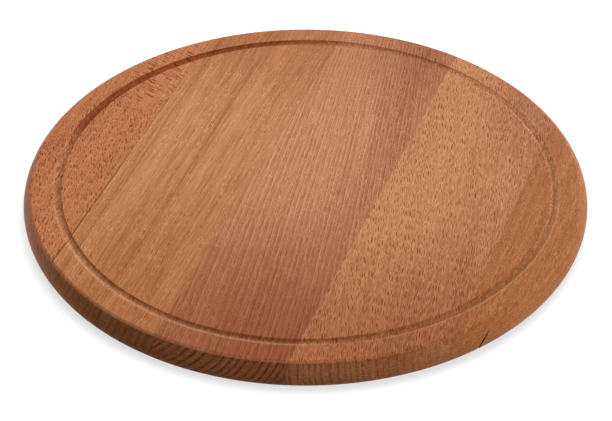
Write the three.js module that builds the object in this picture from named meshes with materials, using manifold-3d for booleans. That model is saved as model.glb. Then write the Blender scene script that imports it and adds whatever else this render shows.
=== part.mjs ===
// Round beech cutting board: staves edge-glued side by side and turned to a disc, with a juice
// groove near the rim. Millimetres, +Z up. The grain runs along Y, the staves lie side by side
// along X, and the origin is the centre of the underside.

import * as THREE from 'three';
import { mergeVertices } from 'three/addons/utils/BufferGeometryUtils.js';
import Module from 'manifold-3d';

// Disc
const BOARD_DIAMETER = 300; // at its widest, halfway up the bowed side
const BOARD_THICKNESS = 16;
const SIDE_BOW = 4.4; // how far the side swells out past the edges of the two faces
const EDGE_RADIUS = 0.8;

// Juice groove: a ring cut into the top face by a round-nosed cutter, with eased lips
const GROOVE_INSET = 18; // from the widest part of the side to the middle of the groove
const GROOVE_CUTTER_DIAMETER = 7;
const GROOVE_DEPTH = 1;
const GROOVE_LIP_RADIUS = 0.3;

// Staves, from left to right. The circle trims the first and the last one.
const FIRST_JOINT_X = -97.2;
const SECOND_STAVE_WIDTH = 70.7;
const THIRD_STAVE_WIDTH = 68;
const FOURTH_STAVE_WIDTH = 69.7;
const STAVE_COLOURS = [0xb5704e, 0xbe825b, 0xb87a5a, 0xbb7e58, 0xae6e47];
const STAVE_ROUGHNESS = 0.55;

// Glue film in each joint, with a hairline clearance to the wood on both sides
const GLUE_THICKNESS = 0.16;
const GLUE_CLEARANCE = 0.02;
const GLUE_COLOUR = 0x7a4a2c;
const GLUE_ROUGHNESS = 0.4;

// Facets
const ROUND_SEGMENTS = 120;
const EDGE_STEPS = 3;
const SIDE_STEPS = 8;
const GROOVE_STEPS = 8;
const LIP_STEPS = 2;
const MERGE_DISTANCE = 1e-4;

const boardRadius = BOARD_DIAMETER / 2;
const grooveRadius = boardRadius - GROOVE_INSET;

const wasm = await Module();
wasm.setup();

// Points on an arc in the (radius, height) plane, angles in degrees
function arc(centreR, centreZ, radius, startAngle, endAngle, steps) {
  const points = [];
  for (let step = 0; step <= steps; step += 1) {
    const angle = THREE.MathUtils.degToRad(startAngle + ((endAngle - startAngle) * step) / steps);
    points.push(new THREE.Vector2(centreR + radius * Math.cos(angle), centreZ + radius * Math.sin(angle)));
  }
  return points;
}

// Groove from its outer lip to its inner lip. Each lip is tangent to the top face and to the
// cutter's round, or to the straight wall of a groove deeper than that round.
function grooveProfile() {
  const cutterRadius = GROOVE_CUTTER_DIAMETER / 2;
  const cutterZ = BOARD_THICKNESS - GROOVE_DEPTH + cutterRadius;
  const lipZ = BOARD_THICKNESS - GROOVE_LIP_RADIUS;
  const reach = cutterRadius + GROOVE_LIP_RADIUS;
  const rise = Math.max(cutterZ - lipZ, 0);
  const lipOffset = Math.sqrt(reach ** 2 - rise ** 2);
  const tilt = THREE.MathUtils.radToDeg(Math.asin(rise / reach));
  return [
    ...arc(grooveRadius + lipOffset, lipZ, GROOVE_LIP_RADIUS, 90, 180 - tilt, LIP_STEPS),
    ...arc(grooveRadius, cutterZ, cutterRadius, -tilt, tilt - 180, GROOVE_STEPS),
    ...arc(grooveRadius - lipOffset, lipZ, GROOVE_LIP_RADIUS, tilt, 90, LIP_STEPS),
  ];
}

// Side from the underside up to the top face: one shallow arc, blended into both faces by a small
// edge radius that touches the arc and the face
function sideProfile() {
  const half = BOARD_THICKNESS / 2;
  const bowRadius = (half ** 2 + SIDE_BOW ** 2) / (2 * SIDE_BOW);
  const bowR = boardRadius - bowRadius;
  const edgeRise = half - EDGE_RADIUS;
  const edgeR = bowR + Math.sqrt((bowRadius - EDGE_RADIUS) ** 2 - edgeRise ** 2);
  const turn = THREE.MathUtils.radToDeg(Math.atan2(edgeRise, edgeR - bowR));
  return [
    ...arc(edgeR, half - edgeRise, EDGE_RADIUS, -90, -turn, EDGE_STEPS),
    ...arc(bowR, half, bowRadius, -turn, turn, SIDE_STEPS),
    ...arc(edgeR, half + edgeRise, EDGE_RADIUS, turn, 90, EDGE_STEPS),
  ];
}

// Half section of the disc: out along the underside, up the side and back in over the top
function boardProfile() {
  const points = [
    new THREE.Vector2(0, 0),
    ...sideProfile(),
    ...grooveProfile(),
    new THREE.Vector2(0, BOARD_THICKNESS),
  ];
  return points.filter((point, i) => i === 0 || point.distanceTo(points[i - 1]) > MERGE_DISTANCE);
}

// Closed solid of a geometry, by its positions alone
function toSolid(geometry) {
  geometry.deleteAttribute('normal');
  geometry.deleteAttribute('uv');
  const merged = mergeVertices(geometry, MERGE_DISTANCE);
  return new wasm.Manifold(
    new wasm.Mesh({
      numProp: 3,
      vertProperties: merged.attributes.position.array,
      triVerts: new Uint32Array(merged.index.array),
    }),
  );
}

function toGeometry(solid) {
  const { vertProperties, triVerts } = solid.getMesh();
  const geometry = new THREE.BufferGeometry();
  geometry.setAttribute('position', new THREE.BufferAttribute(vertProperties, 3));
  geometry.setIndex(new THREE.BufferAttribute(triVerts, 1));
  geometry.computeVertexNormals();
  return geometry;
}

function turnedDisc() {
  const lathe = new THREE.LatheGeometry(boardProfile(), ROUND_SEGMENTS);
  return toSolid(lathe.rotateX(Math.PI / 2));
}

// Slab that takes in everything between two planes across the grain
function slab(fromX, toX) {
  const box = new THREE.BoxGeometry(toX - fromX, 2 * BOARD_DIAMETER, 2 * BOARD_THICKNESS);
  return toSolid(box.translate((fromX + toX) / 2, 0, BOARD_THICKNESS / 2));
}

// Middle of each glue joint that lies inside the disc
function jointPlaces() {
  const places = [FIRST_JOINT_X];
  for (const width of [SECOND_STAVE_WIDTH, THIRD_STAVE_WIDTH, FOURTH_STAVE_WIDTH]) {
    places.push(places.at(-1) + width);
  }
  return places.filter((x) => Math.abs(x) < boardRadius);
}

function addPiece(group, name, solid, colour, roughness) {
  const material = new THREE.MeshStandardMaterial({ color: colour, roughness, metalness: 0 });
  const piece = new THREE.Mesh(toGeometry(solid), material);
  piece.name = name;
  group.add(piece);
}

function cuttingBoard() {
  const board = new THREE.Group();
  board.name = 'round_cutting_board';
  const disc = turnedDisc();
  const joints = jointPlaces();
  const halfFilm = GLUE_THICKNESS / 2;
  const halfGap = halfFilm + GLUE_CLEARANCE;

  const edges = [-BOARD_DIAMETER, ...joints, BOARD_DIAMETER];
  for (let i = 0; i <= joints.length; i += 1) {
    const wood = disc.intersect(slab(edges[i] + halfGap, edges[i + 1] - halfGap));
    addPiece(board, `stave_${i + 1}`, wood, STAVE_COLOURS[i], STAVE_ROUGHNESS);
  }
  joints.forEach((x, i) => {
    const film = disc.intersect(slab(x - halfFilm, x + halfFilm));
    addPiece(board, `glue_line_${i + 1}`, film, GLUE_COLOUR, GLUE_ROUGHNESS);
  });
  return board;
}

export default cuttingBoard();
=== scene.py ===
"""Round beech cutting board: turned staves, their glue films, and a plain white studio."""

import math

import bmesh
import bpy
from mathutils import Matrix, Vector


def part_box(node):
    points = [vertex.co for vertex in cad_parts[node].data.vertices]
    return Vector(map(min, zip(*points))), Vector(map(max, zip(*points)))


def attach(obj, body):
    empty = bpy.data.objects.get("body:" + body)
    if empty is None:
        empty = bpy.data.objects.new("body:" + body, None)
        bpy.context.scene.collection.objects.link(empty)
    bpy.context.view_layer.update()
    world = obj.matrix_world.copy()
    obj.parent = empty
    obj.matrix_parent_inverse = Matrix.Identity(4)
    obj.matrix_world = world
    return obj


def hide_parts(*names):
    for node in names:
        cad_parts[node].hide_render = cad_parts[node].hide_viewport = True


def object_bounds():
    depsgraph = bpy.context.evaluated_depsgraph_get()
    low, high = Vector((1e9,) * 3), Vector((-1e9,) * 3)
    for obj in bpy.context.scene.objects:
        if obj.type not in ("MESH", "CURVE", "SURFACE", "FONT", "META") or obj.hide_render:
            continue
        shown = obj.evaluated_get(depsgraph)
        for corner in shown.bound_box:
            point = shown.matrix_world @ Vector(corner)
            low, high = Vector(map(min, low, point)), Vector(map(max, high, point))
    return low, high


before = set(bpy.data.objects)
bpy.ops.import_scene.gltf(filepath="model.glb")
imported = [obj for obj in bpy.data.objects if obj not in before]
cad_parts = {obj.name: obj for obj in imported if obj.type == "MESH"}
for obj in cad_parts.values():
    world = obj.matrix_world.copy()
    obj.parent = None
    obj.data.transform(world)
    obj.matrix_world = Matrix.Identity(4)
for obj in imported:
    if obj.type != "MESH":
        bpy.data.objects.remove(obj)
cad_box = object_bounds()

# Sizes in metres, in the board's frame: +Z up, +Y along the grain, +X across the staves
MM = 0.001
BOARD_RADIUS = (cad_box[1].x - cad_box[0].x) / 2
BOARD_THICKNESS = cad_box[1].z
SIDE_BOW = 4.4 * MM
EDGE_RADIUS = 0.8 * MM
GROOVE_INSET = 18 * MM
GROOVE_WIDTH = 5 * MM
GROOVE_BED = 2.8 * MM  # between the corners of the bed, before they are rounded
GROOVE_DEPTH = 1 * MM
GROOVE_CORNER = 3.4 * MM
GROOVE_LIP = 0.3 * MM

# Drying crack in the right stave's rim, seen along the grain: millimetres across and up, and its half
# width, from its tip down. Then how far along the grain its mouth and its bottom lie.
CRACK_MOUTH = ((125.4, 12.6, 0.0), (123.5, 8.6, 0.5), (120.0, -0.5, 0.3))
CRACK_OUTSIDE = -88 * MM
CRACK_BOTTOM = -74 * MM

# Facets
TURNING_SEGMENTS = 480
SIDE_POINTS = 25
ARC_STEPS = 6
STEP_SLACK = 0.001
SHARP_ANGLE = math.radians(35)
LEVEL_FACE = 0.9999
WELD = 0.002 * MM
SAW_OVERHANG = 0.1 * BOARD_RADIUS

# Pieces, from left to right
STAVES = [f"stave_{i}" for i in range(1, 6)]
GLUE_LINES = [f"glue_line_{i}" for i in range(1, 5)]
LEFT_STAVE = "stave_1"
KNOT_STAVE = "stave_4"
CRACKED_STAVE = "stave_5"
OPEN_JOINT_STAVES = ("stave_1", "stave_2")
OPEN_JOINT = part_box("glue_line_1")

# Photograph's view
PHOTO_WIDTH = 612
FOCAL_PIXELS = 2201.9
SENSOR_WIDTH = 36.0
VIEW_AZIMUTH = math.radians(19.73)
VIEW_ELEVATION = math.radians(37.69)
VIEW_DISTANCE = 7.883 * BOARD_RADIUS
VIEW_END = 20.0
AIM_DROP = 0.0283 * BOARD_RADIUS
AIM_RIGHT = 0.0017 * BOARD_RADIUS

# Studio, in metres, watts and degrees. A lamp's azimuth counts from the photograph's view.
SOFTBOXES = (
    dict(name="key_softbox", azimuth=150.0, elevation=35.0, distance=3.4, size=2.8, power=92.0),
    dict(name="back_softbox", azimuth=170.0, elevation=36.0, distance=1.0, size=0.5, power=2.6),
    dict(name="right_softbox", azimuth=53.0, elevation=20.0, distance=2.8, size=1.7, power=49.0),
    dict(name="left_softbox", azimuth=-75.0, elevation=18.0, distance=2.0, size=1.2, power=10.0),
)
DOME_STRENGTH = 0.15
WHITE = (1.0, 1.0, 1.0, 1.0)
PAPER = (0.25, 0.28, 0.3, 1.0)
PAPER_BOUNCE = (0.35, 0.35, 0.35, 1.0)
PAPER_GLOW = (0.65, 1.0)  # under the rim, and in the open
SHADOW_REACH = 10 * MM
FLOOR_REACH = 6.0
FLOOR_DROP = 0.1 * MM


# Node wiring

class Bench:
    """Adds nodes to one tree and wires them by socket name or number."""

    def __init__(self, tree):
        self.tree = tree

    def add(self, kind, feeds=None, **settings):
        node = self.tree.nodes.new(kind)
        for name, value in settings.items():
            setattr(node, name, value)
        for socket, value in (feeds or {}).items():
            self.feed(node.inputs[socket], value)
        return node

    def feed(self, socket, value):
        if isinstance(value, bpy.types.NodeSocket):
            self.tree.links.new(value, socket)
        else:
            socket.default_value = value

    def math(self, operation, *values, clamp=False):
        feeds = dict(enumerate(values))
        return self.add("ShaderNodeMath", feeds, operation=operation, use_clamp=clamp).outputs[0]

    def total(self, *values):
        result = values[0]
        for value in values[1:]:
            result = self.math("ADD", result, value)
        return result

    def product(self, *values):
        result = values[0]
        for value in values[1:]:
            result = self.math("MULTIPLY", result, value)
        return result

    def less(self, value, taken):
        return self.math("SUBTRACT", value, taken)

    def gap(self, value, place):
        """How far a value is from a place, either way."""
        return self.math("ABSOLUTE", self.less(value, place))

    def length(self, first, second):
        """Length of the long side of a right triangle."""
        return self.math("SQRT", self.total(self.product(first, first), self.product(second, second)))

    def vector(self, x, y, z):
        return self.add("ShaderNodeCombineXYZ", {0: x, 1: y, 2: z}).outputs[0]

    def parts(self, vector):
        return self.add("ShaderNodeSeparateXYZ", {0: vector}).outputs

    def ramp(self, value, start, end, low=0.0, high=1.0):
        """Smooth step from low at start to high at end."""
        feeds = {"Value": value, "From Min": start, "From Max": end, "To Min": low, "To Max": high}
        return self.add("ShaderNodeMapRange", feeds, interpolation_type="SMOOTHSTEP").outputs[0]

    def noise(self, place, detail=2.0, rough=0.5, seed=0.0):
        """Noise of about unit grain, from 0 to 1, at a place already scaled."""
        feeds = {"Vector": place, "W": seed, "Scale": 1.0, "Detail": detail, "Roughness": rough}
        return self.add("ShaderNodeTexNoise", feeds, noise_dimensions="4D").outputs

    def mix(self, amount, first, second, blend="MIX"):
        node = self.add("ShaderNodeMix", data_type="RGBA", blend_type=blend, clamp_factor=False)
        colours = [socket for socket in node.inputs if socket.type == "RGBA"]
        self.feed(node.inputs[0], amount)
        self.feed(colours[0], first)
        self.feed(colours[1], second)
        return next(socket for socket in node.outputs if socket.type == "RGBA")

    def tint(self, amount, colour, factors):
        """Multiplies a colour by red, green and blue factors, as far as the amount says."""
        if not isinstance(factors, bpy.types.NodeSocket):
            factors = (*factors, 1.0)
        return self.mix(amount, colour, self.mix(1.0, colour, factors, "MULTIPLY"))


def empty_material(name):
    material = bpy.data.materials.new(name)
    material.use_nodes = True
    material.node_tree.nodes.clear()
    return material


def link(piece):
    bpy.context.scene.collection.objects.link(piece)


# Shapes

SLICE_SIZES = {
    "Radius": BOARD_RADIUS,
    "Thickness": BOARD_THICKNESS,
    "Side Bow": SIDE_BOW,
    "Edge Radius": EDGE_RADIUS,
    "Groove Inset": GROOVE_INSET,
    "Groove Width": GROOVE_WIDTH,
    "Groove Bed": GROOVE_BED,
    "Groove Depth": GROOVE_DEPTH,
    "Groove Corner": GROOVE_CORNER,
    "Groove Lip": GROOVE_LIP,
}


def bowed_side(bench, sizes, number):
    """Points of the bowed side, numbered from 1 up: whether a point is one, its place and its rounding."""
    half = bench.product(sizes["Thickness"], 0.5)
    bow = sizes["Side Bow"]
    squares = bench.total(bench.product(half, half), bench.product(bow, bow))
    bow_radius = bench.math("DIVIDE", squares, bench.product(bow, 2.0))
    half_turn = bench.math("ARCSINE", bench.math("DIVIDE", half, bow_radius))
    step = bench.math("DIVIDE", bench.less(number, 1.0), SIDE_POINTS - 1.0)
    angle = bench.product(half_turn, bench.math("MULTIPLY_ADD", step, 2.0, -1.0))
    x = bench.product(bow_radius, bench.less(bench.math("COSINE", angle), 1.0))
    y = bench.product(bench.total(half, bench.product(bow_radius, bench.math("SINE", angle))), -1.0)
    from_middle = bench.gap(step, 0.5)
    on_side = bench.math("LESS_THAN", from_middle, 0.5 + STEP_SLACK)
    between_ends = bench.math("LESS_THAN", from_middle, 0.5 - STEP_SLACK)
    rounding = bench.product(sizes["Edge Radius"], bench.less(1.0, between_ends))
    return on_side, bench.vector(x, y, 0.0), rounding


def other_corners(bench, sizes, number):
    """The corner on the axis before the side, and those of the groove and the axis after it."""
    half_width = bench.product(sizes["Groove Width"], 0.5)
    half_bed = bench.product(sizes["Groove Bed"], 0.5)
    middle = bench.product(sizes["Groove Inset"], -1.0)
    axis = bench.product(sizes["Radius"], -1.0)
    top = bench.product(sizes["Thickness"], -1.0)
    bed = bench.total(top, sizes["Groove Depth"])
    corners = (
        (axis, 0.0, 0.0),
        (bench.total(middle, half_width), top, sizes["Groove Lip"]),
        (bench.total(middle, half_bed), bed, sizes["Groove Corner"]),
        (bench.less(middle, half_bed), bed, sizes["Groove Corner"]),
        (bench.less(middle, half_width), top, sizes["Groove Lip"]),
        (axis, top, 0.0),
    )
    corner = bench.math("MAXIMUM", bench.less(number, float(SIDE_POINTS)), 0.0)
    place = bench.add("GeometryNodeIndexSwitch", data_type="VECTOR")
    rounding = bench.add("GeometryNodeIndexSwitch", data_type="FLOAT")
    for switch in (place, rounding):
        while len(switch.index_switch_items) < len(corners):
            switch.index_switch_items.new()
        bench.feed(switch.inputs["Index"], corner)
    for i, (x, y, radius) in enumerate(corners, start=1):
        bench.feed(place.inputs[i], bench.vector(x, y, 0.0))
        bench.feed(rounding.inputs[i], radius)
    return len(corners), place.outputs[0], rounding.outputs[0]


def half_section(bench, sizes):
    """Half section of the disc with its rounded corners, outward from the rim along X and down along Y."""
    number = bench.add("GeometryNodeInputIndex").outputs[0]
    on_side, side_place, side_rounding = bowed_side(bench, sizes, number)
    corner_count, corner_place, corner_rounding = other_corners(bench, sizes, number)
    feeds = {"Switch": on_side, "False": corner_place, "True": side_place}
    place = bench.add("GeometryNodeSwitch", feeds, input_type="VECTOR").outputs[0]
    feeds = {"Switch": on_side, "False": corner_rounding, "True": side_rounding}
    rounding = bench.add("GeometryNodeSwitch", feeds, input_type="FLOAT").outputs[0]
    is_rounded = bench.math("GREATER_THAN", rounding, 0.0)
    arc_steps = bench.math("MULTIPLY_ADD", is_rounded, ARC_STEPS - 1.0, 1.0)

    line = bench.add("GeometryNodeMeshLine", {"Count": corner_count + SIDE_POINTS}).outputs[0]
    placed = bench.add("GeometryNodeSetPosition", {"Geometry": line, "Position": place}).outputs[0]
    outline = bench.add("GeometryNodeMeshToCurve", {"Mesh": placed}).outputs[0]
    feeds = {"Curve": outline, "Count": arc_steps, "Radius": rounding, "Limit Radius": True}
    return bench.add("GeometryNodeFilletCurve", feeds, mode="POLY").outputs[0]


def turned_disc(bench, sizes, section):
    """Section turned about Z and closed on its axis."""
    feeds = {"Resolution": sizes["Segments"], "Radius": sizes["Radius"]}
    rim = bench.add("GeometryNodeCurvePrimitiveCircle", feeds, mode="RADIUS").outputs[0]
    turned = bench.add("GeometryNodeCurveToMesh", {"Curve": rim, "Profile Curve": section}).outputs[0]
    return bench.add("GeometryNodeMergeByDistance", {"Geometry": turned, "Distance": WELD}).outputs[0]


def sawn_slice(bench, sizes, disc):
    """What lies between the two planes of the slice."""
    width = bench.less(sizes["Right"], sizes["Left"])
    centre = bench.product(bench.total(sizes["Right"], sizes["Left"]), 0.5)
    ample = bench.product(sizes["Radius"], 3.0)
    block = bench.add("GeometryNodeMeshCube", {"Size": bench.vector(width, ample, ample)}).outputs[0]
    feeds = {"Geometry": block, "Translation": bench.vector(centre, 0.0, 0.0)}
    saw = bench.add("GeometryNodeTransform", feeds).outputs[0]
    cut = bench.add("GeometryNodeMeshBoolean", operation="INTERSECT", solver="EXACT")
    bench.feed(cut.inputs["Mesh 2"], disc)
    bench.feed(cut.inputs["Mesh 2"], saw)
    return cut.outputs[0]


def sanded(bench, raw):
    """Level faces shaded flat, round ones smooth, with a crisp edge at every saw cut."""
    upright = bench.parts(bench.add("GeometryNodeInputNormal").outputs[0])[2]
    is_round = bench.math("LESS_THAN", bench.math("ABSOLUTE", upright), LEVEL_FACE)
    fold = bench.add("GeometryNodeInputMeshEdgeAngle").outputs[0]
    is_soft_edge = bench.math("LESS_THAN", fold, SHARP_ANGLE)
    for domain, is_smooth in (("FACE", is_round), ("EDGE", is_soft_edge)):
        feeds = {0: raw, "Shade Smooth": is_smooth}
        raw = bench.add("GeometryNodeSetShadeSmooth", feeds, domain=domain).outputs[0]
    return raw


def slice_tree():
    """Geometry Nodes tree: the board's half section, turned about Z and cut between two planes."""
    tree = bpy.data.node_groups.new("turned_slice", "GeometryNodeTree")
    for name in (*SLICE_SIZES, "Left", "Right"):
        tree.interface.new_socket(name, in_out="INPUT", socket_type="NodeSocketFloat")
    tree.interface.new_socket("Segments", in_out="INPUT", socket_type="NodeSocketInt")
    tree.interface.new_socket("Finish", in_out="INPUT", socket_type="NodeSocketMaterial")
    tree.interface.new_socket("Slice", in_out="OUTPUT", socket_type="NodeSocketGeometry")
    bench = Bench(tree)
    sizes = bench.add("NodeGroupInput").outputs
    disc = turned_disc(bench, sizes, half_section(bench, sizes))
    smooth = sanded(bench, sawn_slice(bench, sizes, disc))
    whole = bench.add("GeometryNodeRealizeInstances", {0: smooth}).outputs[0]
    finished = bench.add("GeometryNodeSetMaterial", {0: whole, "Material": sizes["Finish"]}).outputs[0]
    bench.add("NodeGroupOutput", {0: finished})
    return tree


def plain_mesh(source, name):
    """Turns what an object's modifiers make into a plain mesh object of that name."""
    graph = bpy.context.evaluated_depsgraph_get()
    mesh = bpy.data.meshes.new_from_object(source.evaluated_get(graph))
    mesh.name = name
    bpy.data.objects.remove(source)
    piece = bpy.data.objects.new(name, mesh)
    link(piece)
    return piece


def crack_wedge():
    """Wedge that splits the wood along its grain: a narrow mouth outside, closing to a line within."""
    shell = bmesh.new()
    for across, up, half_width in CRACK_MOUTH:
        shell.verts.new(((across - half_width) * MM, CRACK_OUTSIDE, up * MM))
        if half_width > 0:
            shell.verts.new(((across + half_width) * MM, CRACK_OUTSIDE, up * MM))
    for across, up, _ in (CRACK_MOUTH[0], CRACK_MOUTH[-1]):
        shell.verts.new((across * MM, CRACK_BOTTOM, up * MM))
    bmesh.ops.convex_hull(shell, input=shell.verts)
    bmesh.ops.recalc_face_normals(shell, faces=shell.faces)
    mesh = bpy.data.meshes.new("crack_wedge")
    shell.to_mesh(mesh)
    shell.free()
    wedge = bpy.data.objects.new("crack_wedge", mesh)
    link(wedge)
    return wedge


def slice_of_board(tree, node, name, material):
    """One piece of the board: the turned disc between the two faces of its CAD node."""
    low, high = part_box(node)
    left = low.x if low.x > -BOARD_RADIUS + SIDE_BOW else low.x - SAW_OVERHANG
    right = high.x if high.x < BOARD_RADIUS - SIDE_BOW else high.x + SAW_OVERHANG
    values = {**SLICE_SIZES, "Left": left, "Right": right, "Segments": TURNING_SEGMENTS, "Finish": material}
    blank = bpy.data.objects.new("blank", bpy.data.meshes.new("blank"))
    link(blank)
    turning = blank.modifiers.new("turning", "NODES")
    turning.node_group = tree
    for socket in tree.interface.items_tree:
        if socket.in_out == "INPUT":
            turning[socket.identifier] = values[socket.name]
    if node != CRACKED_STAVE:
        return plain_mesh(blank, name)
    wedge = crack_wedge()
    split = blank.modifiers.new("split", "BOOLEAN")
    split.operation = "DIFFERENCE"
    split.solver = "EXACT"
    split.object = wedge
    piece = plain_mesh(blank, name)
    bpy.data.objects.remove(wedge)
    return piece


# Finishes

def linear(red, green, blue):
    """Linear colour of an 8-bit screen colour."""
    tone = []
    for part in (red, green, blue):
        share = part / 255
        tone.append(share / 12.92 if share <= 0.04045 else ((share + 0.055) / 1.055) ** 2.4)
    return (*tone, 1.0)


# Staves, with tones as screen colours, tints as factors and sizes in millimetres.
# pith is where the tree's heart lay, seen along the grain, and ring the width of a year's growth.
# slope and lean tilt the grain, in degrees, across the board and down into it. wander is how far it
# strays, and fan is the point that a fanning grain spreads from.
# rings, streaks, fibres and speckles are how strongly each shows. streak_size is a width, and fibre_size
# a width and a length.
# fleck_cell is the room for one ray fleck, across and along. fleck_size is the least and the largest
# fleck as a share of it, fleck_share the share of cells with a fleck, fleck_slope its tilt in degrees
# and fleck_depth its shade.
# bands are places across the stave with their shade, where 0.5 is the plain tone and 1 the darkest.
# front and back are how much red the top loses toward its ends. front_from is where that sets in across
# the stave, and back_from along it.
# end_tint tints the end grain of the rim and groove the groove. The side tint makes the rim's side grain
# paler and greyer, a painted sheen.
# end_ring and end_rings are the size and the strength of the rings in the end grain.
PLAIN_BEECH = dict(
    fan=None, wander=4.0, lean=0.0, streak_size=2.6, fibre_size=(0.9, 8.0),
    back=0.0, back_from=(60, 140),
    # The side tint makes the rim's side grain paler and greyer: a painted sheen
    side_sheen_tint=(1.02, 1.13, 1.26), groove=(0.86, 0.89, 0.93),
)
BEECH = {
    "stave_1": dict(
        tone=(181, 110, 71), seed=1.0, front=0.0, front_from=(-150, -97),
        pith=(-165, -25), ring=2.6, slope=2.0, lean=0.5,
        rings=0.12, streaks=0.2, fibres=0.36, speckles=0.45,
        fleck_cell=(1.4, 5.0), fleck_size=(0.22, 0.5), fleck_share=0.9, fleck_slope=20.0, fleck_depth=0.7,
        end_tint=(1.0, 0.98, 0.96), end_ring=2.6, end_rings=0.15,
        bands=((-150, 0.42), (-97, 0.38)),
    ),
    "stave_2": dict(
        tone=(190, 126, 82), seed=2.0, front=0.17, front_from=(-97, -60), back=0.2, back_from=(40, 125),
        pith=(-171, 57), ring=2.6, slope=0.6, wander=1.5,
        rings=0.1, streaks=0.24, streak_size=4.0, fibres=0.42, fibre_size=(0.7, 14.0), speckles=0.2,
        fleck_cell=(1.2, 7.0), fleck_size=(0.2, 0.4), fleck_share=0.45, fleck_slope=2.0, fleck_depth=0.35,
        end_tint=(0.7, 0.56, 0.45), end_ring=4.0, end_rings=0.1,
        bands=((-97, 0.43), (-92.5, 0.45), (-90.3, 0.66), (-88, 0.46), (-82, 0.42), (-74, 0.47), (-66, 0.5),
               (-61, 0.56), (-58, 0.42), (-54, 0.34), (-46, 0.44), (-36, 0.44), (-26.5, 0.46)),
    ),
    "stave_3": dict(
        tone=(190, 127, 88), seed=3.0, front=0.43, front_from=(-160, 45), back=0.15, back_from=(50, 130),
        pith=(-120, 80), ring=2.3, fan=(-82, 580),
        rings=0.3, streaks=0.22, fibres=0.32, speckles=0.32,
        fleck_cell=(1.2, 7.0), fleck_size=(0.2, 0.4), fleck_share=0.4, fleck_slope=8.0, fleck_depth=0.3,
        end_tint=(0.76, 0.57, 0.42), end_ring=2.8, end_rings=0.2,
        bands=((-26.5, 0.45), (2, 0.45), (10, 0.49), (20, 0.54), (30, 0.62), (37, 0.75), (46, 0.8),
               (80, 0.68)),
    ),
    "stave_4": dict(
        tone=(189, 124, 80), seed=4.0, front=0.26, front_from=(20, 50), back=0.1, back_from=(10, 110),
        pith=(190, 22), ring=2.8, slope=11.0,
        rings=0.08, streaks=0.18, fibres=0.52, fibre_size=(0.65, 6.0), speckles=0.14,
        fleck_cell=(1.0, 9.0), fleck_size=(0.16, 0.34), fleck_share=0.95, fleck_slope=13.0, fleck_depth=1.3,
        end_tint=(0.97, 0.82, 0.76), end_ring=3.2, end_rings=0.16,
        bands=((41.5, 0.34), (60, 0.38), (75, 0.45), (84, 0.6), (96, 0.64), (105, 0.68), (111, 0.78)),
    ),
    "stave_5": dict(
        tone=(167, 99, 50), seed=5.0, front=0.06, front_from=(100, 115),
        pith=(150, -45), ring=3.0, slope=2.0, lean=1.5,
        rings=0.14, streaks=0.12, fibres=0.4, speckles=0.58,
        fleck_cell=(1.5, 8.0), fleck_size=(0.2, 0.4), fleck_share=0.35, fleck_slope=3.0, fleck_depth=0.35,
        # The right stave's rim is lifted paler and greyer than its wood: painted light and a painted sheen
        end_tint=(1.5, 1.75, 1.95), end_ring=3.0, end_rings=0.12,
        side_sheen_tint=(1.04, 1.17, 1.6), groove=(0.82, 0.91, 1.15),
        bands=((111, 0.5), (150, 0.5)),
    ),
}

# Figure that all staves share: sizes in millimetres across and along the grain, and seeds of its noise
NOISE_SEEDS = dict(wander=0, streak=10, patch=20, fibre=30, torn=40, broken=50, speckle=60, bend=70)
NOISE_ROUGHNESS = 0.55
WANDER_SIZE = (80, 240)
STREAK_LENGTH = 120
PATCH_SIZE = (22, 90)
SPECKLE_SIZE = (0.8, 1.4)
BROKEN_SIZE = (2.5, 22)
BEND_SIZE = (5, 9)
BEND = 0.6
YEAR_CHANGES = 0.09  # changes in the width of a year, for each millimetre from the pith
YEAR_SHIFT = 2.0  # how many years these changes shift a ring by, at most
RAY_LEAN = 0.8
FAINTEST_FLECK = 0.45
SHADE_DEPTH = (0.31, 0.46, 0.58)  # share of red, green and blue that the extreme tones gain or lose
SHADE_LIMITS = (-0.2, 1.2)
PATCHES = 0.2
# Pale ring around each ray fleck: a painted highlight
FLECK_HIGHLIGHT = 0.45
RIM_SPECKLE = 0.4

# Marks of single staves, in millimetres on the top
CROSS_FLECKS = dict(
    centre=(-108, 72), half_size=(22, 60), cell=(11.0, 2.0), size=(0.25, 0.45), turn=math.radians(-24),
    share=0.85, depth=1.1,
)
BARE_RIM = dict(outward=(135.0, 138.0), along=(-25.0, 10.0), share=0.85)
PIN_KNOT = dict(centre=(61, -42), radius=2.6, half_width=1.0, stretch=1.3, depth=0.4)
SEEP = dict(across=(0.1, 0.7), along=(5.0, -30.0), depth=0.8)
JOINT_FADE = dict(across=(-108.0, -98.0), along=(-10.0, 60.0), ragged=3.0, tint=(1.03, 1.06, 1.0))
OPEN_JOINT_X = (OPEN_JOINT[0].x + OPEN_JOINT[1].x) / 2 / MM

# Ends of the top, the rim and its end grain: millimetres, or how level or endwise a surface lies
FRONT_END = (10.0, -130.0)
END_DARKENING = (1.0, 1.75, 2.3)  # powers of the red that is left, for red, green and blue
FACE_FROM = (0.6, 0.95)
SIDE_GRAIN_UNTIL = (0.75, 0.97)
END_GRAIN_UNTIL = (0.71, 0.81)
END_GRAIN_FROM = (0.45, 1.0)
RIM_FROM = (BOARD_RADIUS - 2 * SIDE_BOW) / MM
END_SHADE = 0.52
END_SPECKLE = -0.15

# Groove: places in millimetres outward from its middle, and angles about the board's centre
GROOVE_RADIUS = (BOARD_RADIUS - GROOVE_INSET) / MM
GROOVE_HALF = GROOVE_WIDTH / MM / 2
GROOVE_SOFTNESS = 0.2
TORN_SIZE = (1.5, 2.0)
TORN_SHADE = (0.82, 1.16)
# Groove darker and redder along its back-left stretch
BACK_LEFT_DARKENING = dict(angle=math.radians(142), sets_in=(-1.13, -0.2), ends=(0.58, 0.76), tint=(0.53, 0.32, 0.2))
# Painted shade: the groove's inner wall darkened toward the front
INNER_WALL_SHADE = dict(angle=math.radians(-95), spread=(0.5, 0.9), wall=(-0.9, -1.8), tint=(0.7, 0.6, 0.48))
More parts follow.
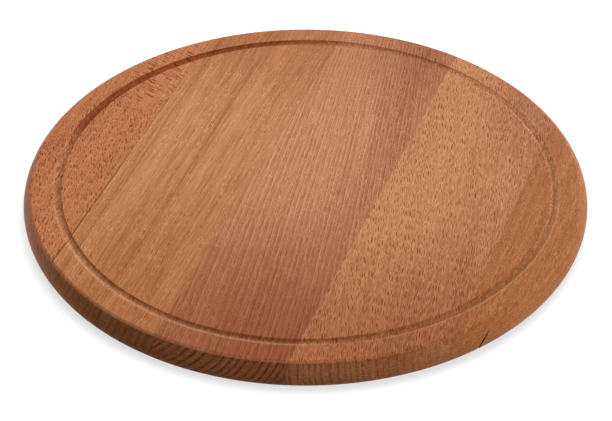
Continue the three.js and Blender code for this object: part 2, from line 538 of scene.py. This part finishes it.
# Painted highlight: the groove's lips made paler toward the front and the right
LIP_HIGHLIGHT_TONE = linear(212, 164, 126)
LIP_HIGHLIGHT_SPREAD = (0.66, 0.92)
LIP_HIGHLIGHTS = (
    dict(angle=math.radians(-104), lip=1.3, reach=2.2, strength=0.38),
    dict(angle=math.radians(-20), lip=2.5, reach=1.2, strength=0.3),
)
MARK_CORE = 0.3  # full strength of a mark: millimetres across, and share of its spread around
# Painted light: stretches of the groove's walls lifted paler where they lie in shade
GROOVE_WALL_LIGHT = (
    dict(angle=math.radians(32), spread=math.radians(46), wall=2.0, reach=2.2, tint=(1.64, 1.86, 2.35)),
    dict(angle=math.radians(22), spread=math.radians(46), wall=-1.1, reach=1.4, tint=(1.3, 1.45, 1.8)),
    dict(angle=math.radians(86), spread=math.radians(26), wall=0.6, reach=2.2, tint=(1.25, 1.3, 1.35)),
)

# Relief in millimetres, and roughness
RELIEF = dict(fleck=-0.08, fibre=0.05, ring=-0.03, groove=0.2)
RELIEF_STRENGTH = 0.7
WOOD_ROUGHNESS = dict(plain=0.37, fibre=0.1, end_grain=0.12, groove=0.15)
WOOD_SPECULAR = 0.03

# Glue
GLUE_GRAIN = (300.0, 60.0, 300.0)
GLUE_TONES = (linear(146, 90, 54), linear(168, 106, 64))
GLUE_DARK = linear(62, 34, 20)
GLUE_ROUGHNESS = (0.4, 0.6)
GLUE_SPECULAR = 0.14
GLUE_OPEN_ACROSS = (-60 * MM, -90 * MM)
GLUE_OPEN_ALONG = (50 * MM, 0.0)
GLUE_END_FROM = (0.1, 0.85)


class Wood(Bench):
    """Bench for one stave's finish, with places in millimetres on the board and the wood's figure."""

    def __init__(self, tree, wood):
        super().__init__(tree)
        self.wood = wood
        places = self.add("ShaderNodeTexCoord").outputs
        feeds = {0: places["Object"], "Scale": 1 / MM}
        millimetres = self.add("ShaderNodeVectorMath", feeds, operation="SCALE").outputs[0]
        self.x, self.y, self.z = self.parts(millimetres)
        self.facing = self.parts(places["Normal"])
        self.level = self.math("ABSOLUTE", self.facing[2])
        self.on_face = self.ramp(self.level, *FACE_FROM)
        self.from_centre = self.length(self.x, self.y)
        self.lay_grain()
        self.grow_rings()
        self.draw_fibres()
        self.draw_ray_flecks()
        self.cut_groove()

    def tilted(self, degrees):
        """Shift of a line that is tilted against the length of the board."""
        return self.product(self.y, math.tan(math.radians(degrees)))

    def noise_at(self, place_x, place_z, across_size, along_size, detail, kind):
        """Noise with a grain of about these millimetres across and along the wood."""
        place = self.vector(
            self.product(place_x, 1.0 / across_size),
            self.product(self.y, 1.0 / along_size),
            self.product(place_z, 1.0 / across_size),
        )
        return self.noise(place, detail, NOISE_ROUGHNESS, self.wood["seed"] + NOISE_SEEDS[kind])

    def centred(self, noise, low=0.32, high=0.68):
        """Noise with more contrast, from -0.5 to 0.5."""
        return self.less(self.ramp(noise[0], low, high), 0.5)

    def toward(self, angle):
        """1 straight toward an angle about the board's centre, down to -1 away from it."""
        ahead = self.total(self.product(self.x, math.cos(angle)), self.product(self.y, math.sin(angle)))
        return self.math("DIVIDE", ahead, self.from_centre)

    def turn_from(self, angle):
        """Radians past an angle about the board's centre."""
        ahead = self.total(self.product(self.x, math.cos(angle)), self.product(self.y, math.sin(angle)))
        aside = self.total(self.product(self.y, math.cos(angle)), self.product(self.x, -math.sin(angle)))
        return self.math("ARCTAN2", aside, ahead)

    def lay_grain(self):
        """Wandering grain: places across the fibres, down into them and across the bands."""
        wood = self.wood
        wander = self.noise_at(self.x, self.z, *WANDER_SIZE, 1.0, "wander")["Color"]
        wander = self.add("ShaderNodeSeparateColor", {0: wander}).outputs
        sway = wood["wander"]
        drift_x = self.math("MULTIPLY_ADD", wander[0], 2 * sway, -sway)
        drift_z = self.math("MULTIPLY_ADD", wander[1], 2 * sway, -sway)
        if wood["fan"]:
            apex_x, apex_y = wood["fan"]
            spread = self.math("DIVIDE", apex_y, self.less(apex_y, self.y))
            straight = self.math("MULTIPLY_ADD", self.less(self.x, apex_x), spread, apex_x)
        else:
            straight = self.total(self.x, self.tilted(wood["slope"]))
        self.across = self.total(straight, drift_x)
        self.band_place = self.across if wood["fan"] else self.total(self.x, drift_x)
        self.depth = self.total(self.z, drift_z, self.tilted(wood["lean"]))

    def grow_rings(self):
        """Growth rings: pale early wood, then darker late wood."""
        pith_x, pith_z = self.wood["pith"]
        self.from_pith = self.length(self.less(self.across, pith_x), self.less(self.depth, pith_z))
        place = self.vector(self.product(self.from_pith, YEAR_CHANGES), 0.0, 0.0)
        self.uneven = self.noise(place, 1.0, seed=self.wood["seed"])[0]
        season = self.math("FRACT", self.years(self.wood["ring"]))
        early_wood = self.product(self.ramp(season, 0.05, 0.35, 1.0, 0.0), self.ramp(season, 0.0, 0.05))
        late_wood = self.product(self.ramp(season, 0.45, 0.95), self.ramp(season, 0.95, 1.0, 1.0, 0.0))
        self.ring_shade = self.less(self.product(late_wood, 0.7), self.product(early_wood, 1.3))
        broken = self.noise_at(self.across, self.depth, *BROKEN_SIZE, 1.0, "broken")[0]
        self.broken = self.ramp(broken, 0.3, 0.6, 0.25, 1.0)

    def years(self, ring):
        """Years outward from the pith, each about this many millimetres wide."""
        evenly = self.product(self.from_pith, 1.0 / ring)
        return self.total(evenly, self.product(self.uneven, YEAR_SHIFT))

    def draw_fibres(self):
        """Streaks, patches and fibres along the grain, a fine speckle, and a bend for small marks."""
        wood = self.wood
        grain = (self.across, self.depth)
        self.streak = self.centred(self.noise_at(*grain, wood["streak_size"], STREAK_LENGTH, 3.0, "streak"))
        self.patch = self.centred(self.noise_at(*grain, *PATCH_SIZE, 1.0, "patch"), 0.2, 0.8)
        self.fibre = self.centred(self.noise_at(*grain, *wood["fibre_size"], 2.0, "fibre"))
        self.speckle = self.centred(self.noise_at(self.x, self.z, *SPECKLE_SIZE, 2.0, "speckle"))
        bend = self.noise_at(self.x, self.z, *BEND_SIZE, 1.0, "bend")[0]
        self.bend = self.math("MULTIPLY_ADD", bend, 2 * BEND, -BEND)

    def flecks(self, cell_x, cell_y, share, size):
        """Dark cores of spindles that lie in a share of the cells, and their pale edges, a painted
        highlight.
        """
        feeds = {"Vector": self.vector(cell_x, cell_y, self.wood["seed"]), "Scale": 1.0}
        cells = self.add("ShaderNodeTexVoronoi", feeds, voronoi_dimensions="2D").outputs
        chance = self.add("ShaderNodeSeparateColor", {0: cells["Color"]}).outputs
        present = self.math("LESS_THAN", chance[0], share)
        outward = self.math("DIVIDE", cells["Distance"], self.ramp(chance[1], 0.0, 1.0, *size))
        weight = self.ramp(chance[2], 0.0, 1.0, FAINTEST_FLECK, 1.0)
        core = self.product(self.ramp(outward, 0.4, 1.0, 1.0, 0.0), weight)
        edge = self.product(self.ramp(outward, 0.9, 1.2), self.ramp(outward, 1.2, 1.8, 1.0, 0.0))
        return self.product(core, present), self.product(edge, present)

    def draw_ray_flecks(self):
        """Ray flecks: dark spindles with a paler edge, a painted highlight, slanting down into the wood."""
        wood = self.wood
        wide, long = wood["fleck_cell"]
        leaning = self.total(
            self.x, self.product(self.z, RAY_LEAN), self.bend, self.tilted(wood["fleck_slope"]),
        )
        fewest, most = 0.75 * wood["fleck_share"], 1.15 * wood["fleck_share"]
        share = self.ramp(self.patch, -0.4, 0.4, fewest, most)
        self.fleck, self.fleck_highlight = self.flecks(
            self.product(leaning, 1.0 / wide), self.product(self.y, 1.0 / long), share, wood["fleck_size"],
        )

    def cut_groove(self):
        """Where the groove is, and how its cutter tore the wood."""
        half_way = BOARD_THICKNESS / MM / 2
        self.on_top = self.ramp(self.z, half_way, half_way + 1.0)
        self.past_groove = self.less(self.from_centre, GROOVE_RADIUS)
        edges = (GROOVE_HALF - GROOVE_SOFTNESS, GROOVE_HALF + GROOVE_SOFTNESS)
        within = self.ramp(self.math("ABSOLUTE", self.past_groove), *edges, 1.0, 0.0)
        self.in_groove = self.product(within, self.on_top)
        self.torn = self.noise_at(self.x, self.z, *TORN_SIZE, 3.0, "torn")[0]


def lateral_shade(bench, across, bands):
    """Shade across a stave, through given places."""
    first, last = bands[0][0], bands[-1][0]
    curve = bench.add("ShaderNodeFloatCurve")
    points = curve.mapping.curves[0].points
    for place, shade in bands[1:-1]:
        points.new((place - first) / (last - first), shade)
    points[0].location = (0.0, bands[0][1])
    points[-1].location = (1.0, bands[-1][1])
    curve.mapping.update()
    share = bench.math("MULTIPLY_ADD", across, 1.0 / (last - first), -first / (last - first), clamp=True)
    bench.feed(curve.inputs["Value"], share)
    return curve.outputs[0]


def oval_distance(bench, x, y, centre, half_size):
    """Distance from the middle of an oval on the top, 1 at its edge."""
    off_x = bench.math("DIVIDE", bench.less(x, centre[0]), half_size[0])
    off_y = bench.math("DIVIDE", bench.less(y, centre[1]), half_size[1])
    return bench.length(off_x, off_y)


def cross_flecks(bench):
    """Patch of short dashes that run across the grain, and where it is."""
    marks = CROSS_FLECKS
    turn = marks["turn"]
    x, y = bench.x, bench.y
    along = bench.total(bench.product(x, math.cos(turn)), bench.product(y, math.sin(turn)), bench.bend)
    aside = bench.total(bench.product(x, -math.sin(turn)), bench.product(y, math.cos(turn)), bench.bend)
    long, wide = marks["cell"]
    dashes, _ = bench.flecks(
        bench.product(along, 1.0 / long), bench.product(aside, 1.0 / wide), marks["share"], marks["size"],
    )
    patch = bench.ramp(oval_distance(bench, x, y, marks["centre"], marks["half_size"]), 0.5, 1.0, 1.0, 0.0)
    return patch, bench.product(dashes, patch, marks["depth"])


def bare_rim(bench):
    """Back of the left stave outside the groove, where few flecks show."""
    outward = bench.ramp(bench.from_centre, *BARE_RIM["outward"])
    return bench.product(outward, bench.ramp(bench.y, *BARE_RIM["along"]), BARE_RIM["share"])


def pin_knot(bench):
    """Tiny broken curl where a bud once was."""
    radius = PIN_KNOT["radius"]
    half_size = (radius, radius * PIN_KNOT["stretch"])
    far = oval_distance(bench, bench.x, bench.total(bench.y, bench.bend), PIN_KNOT["centre"], half_size)
    curl = bench.ramp(bench.gap(far, 1.0), 0.1, PIN_KNOT["half_width"] / radius, PIN_KNOT["depth"], 0.0)
    return bench.product(curl, bench.ramp(bench.speckle, -0.25, 0.25))


def seep(bench):
    """Dark line where the left joint has opened toward the front."""
    off_joint = bench.gap(bench.x, OPEN_JOINT_X)
    line = bench.ramp(off_joint, *SEEP["across"], SEEP["depth"], 0.0)
    return bench.product(line, bench.ramp(bench.y, *SEEP["along"]))


def face_marks(bench, name):
    """Shade of the ray flecks on the faces, and of the marks that only this stave has."""
    shades = [bench.product(bench.fleck, bench.wood["fleck_depth"])]
    if name == LEFT_STAVE:
        crossed, dashes = cross_flecks(bench)
        for elsewhere in (crossed, bare_rim(bench)):
            shades[0] = bench.product(shades[0], bench.less(1.0, elsewhere))
        shades.append(dashes)
    if name == KNOT_STAVE:
        shades.append(pin_knot(bench))
    if name in OPEN_JOINT_STAVES:
        shades.append(seep(bench))
    return bench.product(bench.total(*shades), bench.on_face)


def wood_colour(bench, name):
    """Colour of the bare wood, between its palest and its darkest tone."""
    wood = bench.wood
    speckling = bench.ramp(bench.on_face, 0.0, 1.0, RIM_SPECKLE, 1.0)
    shade = bench.total(
        lateral_shade(bench, bench.band_place, wood["bands"]),
        bench.product(bench.streak, wood["streaks"]),
        bench.product(bench.patch, PATCHES),
        bench.product(bench.ring_shade, bench.broken, wood["rings"]),
        bench.product(bench.fibre, wood["fibres"]),
        bench.product(bench.speckle, wood["speckles"], speckling),
        # Pale ring around each ray fleck: a painted highlight
        bench.product(bench.fleck_highlight, bench.on_face, -FLECK_HIGHLIGHT),
        face_marks(bench, name),
    )
    least, most = SHADE_LIMITS
    bounded = bench.math("MAXIMUM", bench.math("MINIMUM", shade, most), least)
    plain = linear(*wood["tone"])
    palest = (*(part * (1 + depth) for part, depth in zip(plain, SHADE_DEPTH)), 1.0)
    darkest = (*(part * (1 - depth) for part, depth in zip(plain, SHADE_DEPTH)), 1.0)
    colour = bench.mix(bounded, palest, darkest)
    if name == LEFT_STAVE:
        ragged = bench.total(bench.x, bench.product(bench.bend, JOINT_FADE["ragged"]))
        along = bench.ramp(bench.y, *JOINT_FADE["along"])
        fading = bench.product(bench.ramp(ragged, *JOINT_FADE["across"]), along)
        colour = bench.tint(fading, colour, JOINT_FADE["tint"])
    return colour


def darker_ends(bench, colour):
    """Ends of the top, darker and redder."""
    wood = bench.wood
    to_front = bench.product(bench.ramp(bench.y, *FRONT_END), bench.ramp(bench.x, *wood["front_from"]))
    to_back = bench.ramp(bench.y, *wood["back_from"])
    for toward_end, loss in ((to_front, wood["front"]), (to_back, wood["back"])):
        end_factors = [(1.0 - loss) ** power for power in END_DARKENING]
        colour = bench.tint(bench.product(bench.on_face, toward_end), colour, end_factors)
    return colour


def rim_colour(bench, colour):
    """Rim: paler and greyer where it runs along the grain, a painted sheen, and dark at the end grain, with
    its rings plain to see.
    """
    wood = bench.wood
    sideways = bench.math("MAXIMUM", bench.length(bench.facing[0], bench.facing[1]), 0.001)
    endwise = bench.math("DIVIDE", bench.math("ABSOLUTE", bench.facing[1]), sideways)
    outside = bench.ramp(bench.from_centre, RIM_FROM - 1.0, RIM_FROM)
    side_grain = bench.product(
        bench.ramp(bench.level, *SIDE_GRAIN_UNTIL, 1.0, 0.0), outside,
        bench.ramp(endwise, *END_GRAIN_FROM, 1.0, 0.0),
    )
    end_grain = bench.product(
        bench.ramp(bench.level, *END_GRAIN_UNTIL, 1.0, 0.0), outside, bench.ramp(endwise, *END_GRAIN_FROM),
    )
    from_line = bench.gap(bench.math("FRACT", bench.years(wood["end_ring"])), 0.5)
    rings = bench.product(bench.ramp(from_line, 0.06, 0.3, -1.2, 0.6), bench.broken, wood["end_rings"])
    shade = bench.total(END_SHADE, rings, bench.product(bench.speckle, END_SPECKLE))
    feeds = {i: bench.product(shade, part) for i, part in enumerate(wood["end_tint"])}
    end_tone = bench.add("ShaderNodeCombineColor", feeds).outputs[0]
    # Side grain made paler and greyer: a painted sheen
    colour = bench.tint(side_grain, colour, wood["side_sheen_tint"])
    return bench.tint(end_grain, colour, end_tone), end_grain


def groove_colour(bench, colour):
    """Groove: rough from the cutter, so greyer and mottled, and darker and redder along its back-left
    stretch.
    """
    past_dark_stretch = bench.turn_from(BACK_LEFT_DARKENING["angle"])
    darkening_starts = bench.ramp(past_dark_stretch, *BACK_LEFT_DARKENING["sets_in"])
    back_left_dark = bench.product(darkening_starts, bench.ramp(past_dark_stretch, *BACK_LEFT_DARKENING["ends"], 1.0, 0.0))
    tone = bench.mix(back_left_dark, (*bench.wood["groove"], 1.0), (*BACK_LEFT_DARKENING["tint"], 1.0))
    feeds = {0: tone, "Scale": bench.ramp(bench.torn, 0.3, 0.7, *TORN_SHADE)}
    mottled = bench.add("ShaderNodeVectorMath", feeds, operation="SCALE").outputs[0]
    return bench.tint(bench.in_groove, colour, mottled)


def painted_groove_light(bench, colour):
    """Painted highlight on the lips toward the front and the right, and painted shade on the inner wall
    toward the front.
    """
    tattered = bench.ramp(bench.torn, 0.3, 0.6, 0.5, 1.0)
    # Painted highlight on the groove's lips
    for wear_and_highlight in LIP_HIGHLIGHTS:
        from_lip = bench.gap(bench.past_groove, wear_and_highlight["lip"])
        lip_highlight = bench.product(
            bench.ramp(from_lip, MARK_CORE, wear_and_highlight["reach"], wear_and_highlight["strength"], 0.0),
            bench.ramp(bench.toward(wear_and_highlight["angle"]), *LIP_HIGHLIGHT_SPREAD), bench.on_face, bench.on_top, tattered,
        )
        colour = bench.mix(lip_highlight, colour, LIP_HIGHLIGHT_TONE)
    # Painted shade on the groove's inner wall toward the front
    inner_wall_shade = bench.product(
        bench.ramp(bench.past_groove, *INNER_WALL_SHADE["wall"]),
        bench.ramp(bench.toward(INNER_WALL_SHADE["angle"]), *INNER_WALL_SHADE["spread"]),
        bench.in_groove,
        bench.ramp(bench.bend, -0.25, 0.2, 0.45, 1.0),
    )
    return bench.tint(inner_wall_shade, colour, INNER_WALL_SHADE["tint"])


def painted_wall_light(bench, colour):
    """Stretches of the groove's walls made paler: painted light where they lie in shade."""
    for pale in GROOVE_WALL_LIGHT:
        from_wall = bench.gap(bench.past_groove, pale["wall"])
        past_angle = bench.math("ABSOLUTE", bench.turn_from(pale["angle"]))
        amount = bench.product(
            bench.ramp(from_wall, MARK_CORE, pale["reach"], 1.0, 0.0),
            bench.ramp(past_angle, MARK_CORE * pale["spread"], pale["spread"], 1.0, 0.0), bench.in_groove,
        )
        colour = bench.tint(amount, colour, pale["tint"])
    return colour


def beech(name):
    """Solid beech: growth rings about a pith, fibres, ray flecks, dark end grain and a rough groove."""
    material = empty_material(f"beech_{name}")
    bench = Wood(material.node_tree, {**PLAIN_BEECH, **BEECH[name]})
    colour = darker_ends(bench, wood_colour(bench, name))
    colour, end_grain = rim_colour(bench, colour)
    colour = painted_groove_light(bench, groove_colour(bench, colour))
    colour = painted_wall_light(bench, colour)

    relief = bench.total(
        bench.product(bench.fleck, RELIEF["fleck"]),
        bench.product(bench.fibre, RELIEF["fibre"]),
        bench.product(bench.ring_shade, RELIEF["ring"]),
        bench.product(bench.in_groove, bench.torn, RELIEF["groove"]),
    )
    feeds = {"Strength": RELIEF_STRENGTH, "Distance": MM, "Height": relief}
    bump = bench.add("ShaderNodeBump", feeds).outputs[0]
    roughness = bench.total(
        WOOD_ROUGHNESS["plain"],
        bench.product(bench.fibre, WOOD_ROUGHNESS["fibre"]),
        bench.product(end_grain, WOOD_ROUGHNESS["end_grain"]),
        bench.product(bench.in_groove, WOOD_ROUGHNESS["groove"]),
    )
    feeds = {
        "Base Color": colour, "Roughness": roughness, "Specular IOR Level": WOOD_SPECULAR, "Normal": bump,
    }
    surface = bench.add("ShaderNodeBsdfPrincipled", feeds).outputs[0]
    bench.add("ShaderNodeOutputMaterial", {0: surface})
    return material


def glue_finish():
    """Hardened glue, sanded flush: close to the wood, and dark at the end grain and in the left joint."""
    material = empty_material("wood_glue")
    bench = Bench(material.node_tree)
    places = bench.add("ShaderNodeTexCoord").outputs
    stretched = bench.add("ShaderNodeMapping", {"Vector": places["Object"], "Scale": GLUE_GRAIN}).outputs[0]
    wear_and_highlight = bench.noise(stretched, 3.0, 0.6)[0]
    x, y, _ = bench.parts(places["Object"])
    open_joint = bench.product(
        bench.ramp(x, *GLUE_OPEN_ACROSS),
        bench.ramp(y, *GLUE_OPEN_ALONG),
        bench.ramp(wear_and_highlight, 0.3, 0.6, 0.6, 1.0),
    )
    end_grain = bench.ramp(bench.math("ABSOLUTE", bench.parts(places["Normal"])[1]), *GLUE_END_FROM)
    colour = bench.mix(bench.ramp(wear_and_highlight, 0.35, 0.65), *GLUE_TONES)
    colour = bench.mix(bench.math("MAXIMUM", open_joint, end_grain), colour, GLUE_DARK)
    roughness = bench.ramp(wear_and_highlight, 0.0, 1.0, *GLUE_ROUGHNESS)
    feeds = {"Base Color": colour, "Roughness": roughness, "Specular IOR Level": GLUE_SPECULAR}
    surface = bench.add("ShaderNodeBsdfPrincipled", feeds).outputs[0]
    bench.add("ShaderNodeOutputMaterial", {0: surface})
    return material


# Studio

def seen_directly(bench):
    """1 for rays that show the background: straight from the camera, mirrored or seen through."""
    rays = bench.add("ShaderNodeLightPath").outputs
    seen = bench.math("MAXIMUM", rays["Is Camera Ray"], rays["Is Glossy Ray"])
    return bench.math("MAXIMUM", seen, rays["Is Transmission Ray"])


def white_paper():
    """Paper that glows white where it is seen, less so under the board's rim, and keeps its soft shadow."""
    material = empty_material("white_paper")
    bench = Bench(material.node_tree)
    paper = bench.add("ShaderNodeBsdfDiffuse", {"Color": PAPER}).outputs[0]
    openness = bench.add("ShaderNodeAmbientOcclusion", {"Distance": SHADOW_REACH}, samples=16).outputs["AO"]
    strength = bench.ramp(openness, 0.3, 0.95, *PAPER_GLOW)
    glow = bench.add("ShaderNodeEmission", {"Color": WHITE, "Strength": strength}).outputs[0]
    bright = bench.add("ShaderNodeAddShader", {0: paper, 1: glow}).outputs[0]
    dull = bench.add("ShaderNodeBsdfDiffuse", {"Color": PAPER_BOUNCE}).outputs[0]
    both = bench.add("ShaderNodeMixShader", {0: seen_directly(bench), 1: dull, 2: bright}).outputs[0]
    bench.add("ShaderNodeOutputMaterial", {0: both})
    return material


def white_floor():
    mesh = bpy.data.meshes.new("floor")
    quarters = ((-1, -1), (1, -1), (1, 1), (-1, 1))
    corners = [(x * FLOOR_REACH, y * FLOOR_REACH, -FLOOR_DROP) for x, y in quarters]
    mesh.from_pydata(corners, [], [(0, 1, 2, 3)])
    mesh.materials.append(white_paper())
    floor = bpy.data.objects.new("floor", mesh)
    link(floor)


def white_world():
    """Dim dome of light that is white where it is seen."""
    world = bpy.data.worlds.new("studio")
    world.use_nodes = True
    world.node_tree.nodes.clear()
    bench = Bench(world.node_tree)
    strength = bench.ramp(seen_directly(bench), 0.0, 1.0, DOME_STRENGTH, 1.0)
    dome = bench.add("ShaderNodeBackground", {"Color": WHITE, "Strength": strength}).outputs[0]
    bench.add("ShaderNodeOutputWorld", {0: dome})
    bpy.context.scene.world = world


def way_out(azimuth, elevation):
    """Direction from the board, with azimuth 0 toward -Y."""
    flat = math.cos(elevation)
    return Vector((math.sin(azimuth) * flat, -math.cos(azimuth) * flat, math.sin(elevation)))


def softbox(name, azimuth, elevation, distance, size, power):
    """Square area lamp aimed at the board."""
    lamp = bpy.data.lights.new(name, "AREA")
    lamp.shape = "SQUARE"
    lamp.size = size
    lamp.energy = power
    holder = bpy.data.objects.new(name, lamp)
    out = way_out(math.radians(azimuth) + VIEW_AZIMUTH, math.radians(elevation))
    holder.location = out * distance
    holder.rotation_euler = (-out).to_track_quat("-Z", "Y").to_euler()
    link(holder)


def camera():
    out = way_out(VIEW_AZIMUTH, VIEW_ELEVATION)
    turn = (-out).to_track_quat("-Z", "Y")
    right = turn @ Vector((1.0, 0.0, 0.0))
    up = turn @ Vector((0.0, 1.0, 0.0))
    eye = bpy.data.cameras.new("camera")
    eye.sensor_width = SENSOR_WIDTH
    eye.lens = FOCAL_PIXELS * SENSOR_WIDTH / PHOTO_WIDTH
    eye.clip_end = VIEW_END
    holder = bpy.data.objects.new("camera", eye)
    holder.location = out * VIEW_DISTANCE - up * AIM_DROP + right * AIM_RIGHT
    holder.rotation_euler = turn.to_euler()
    link(holder)
    bpy.context.scene.camera = holder


# Assembly

def assemble():
    tree = slice_tree()
    glue = glue_finish()
    for node in STAVES + GLUE_LINES:
        finish = beech(node) if node in BEECH else glue
        piece = slice_of_board(tree, node, f"{node}_finished", finish)
        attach(piece, "root")
        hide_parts(node)


bpy.context.scene.view_settings.view_transform = "Standard"
camera()
white_world()
white_floor()
for lamp_sizes in SOFTBOXES:
    softbox(**lamp_sizes)
assemble()
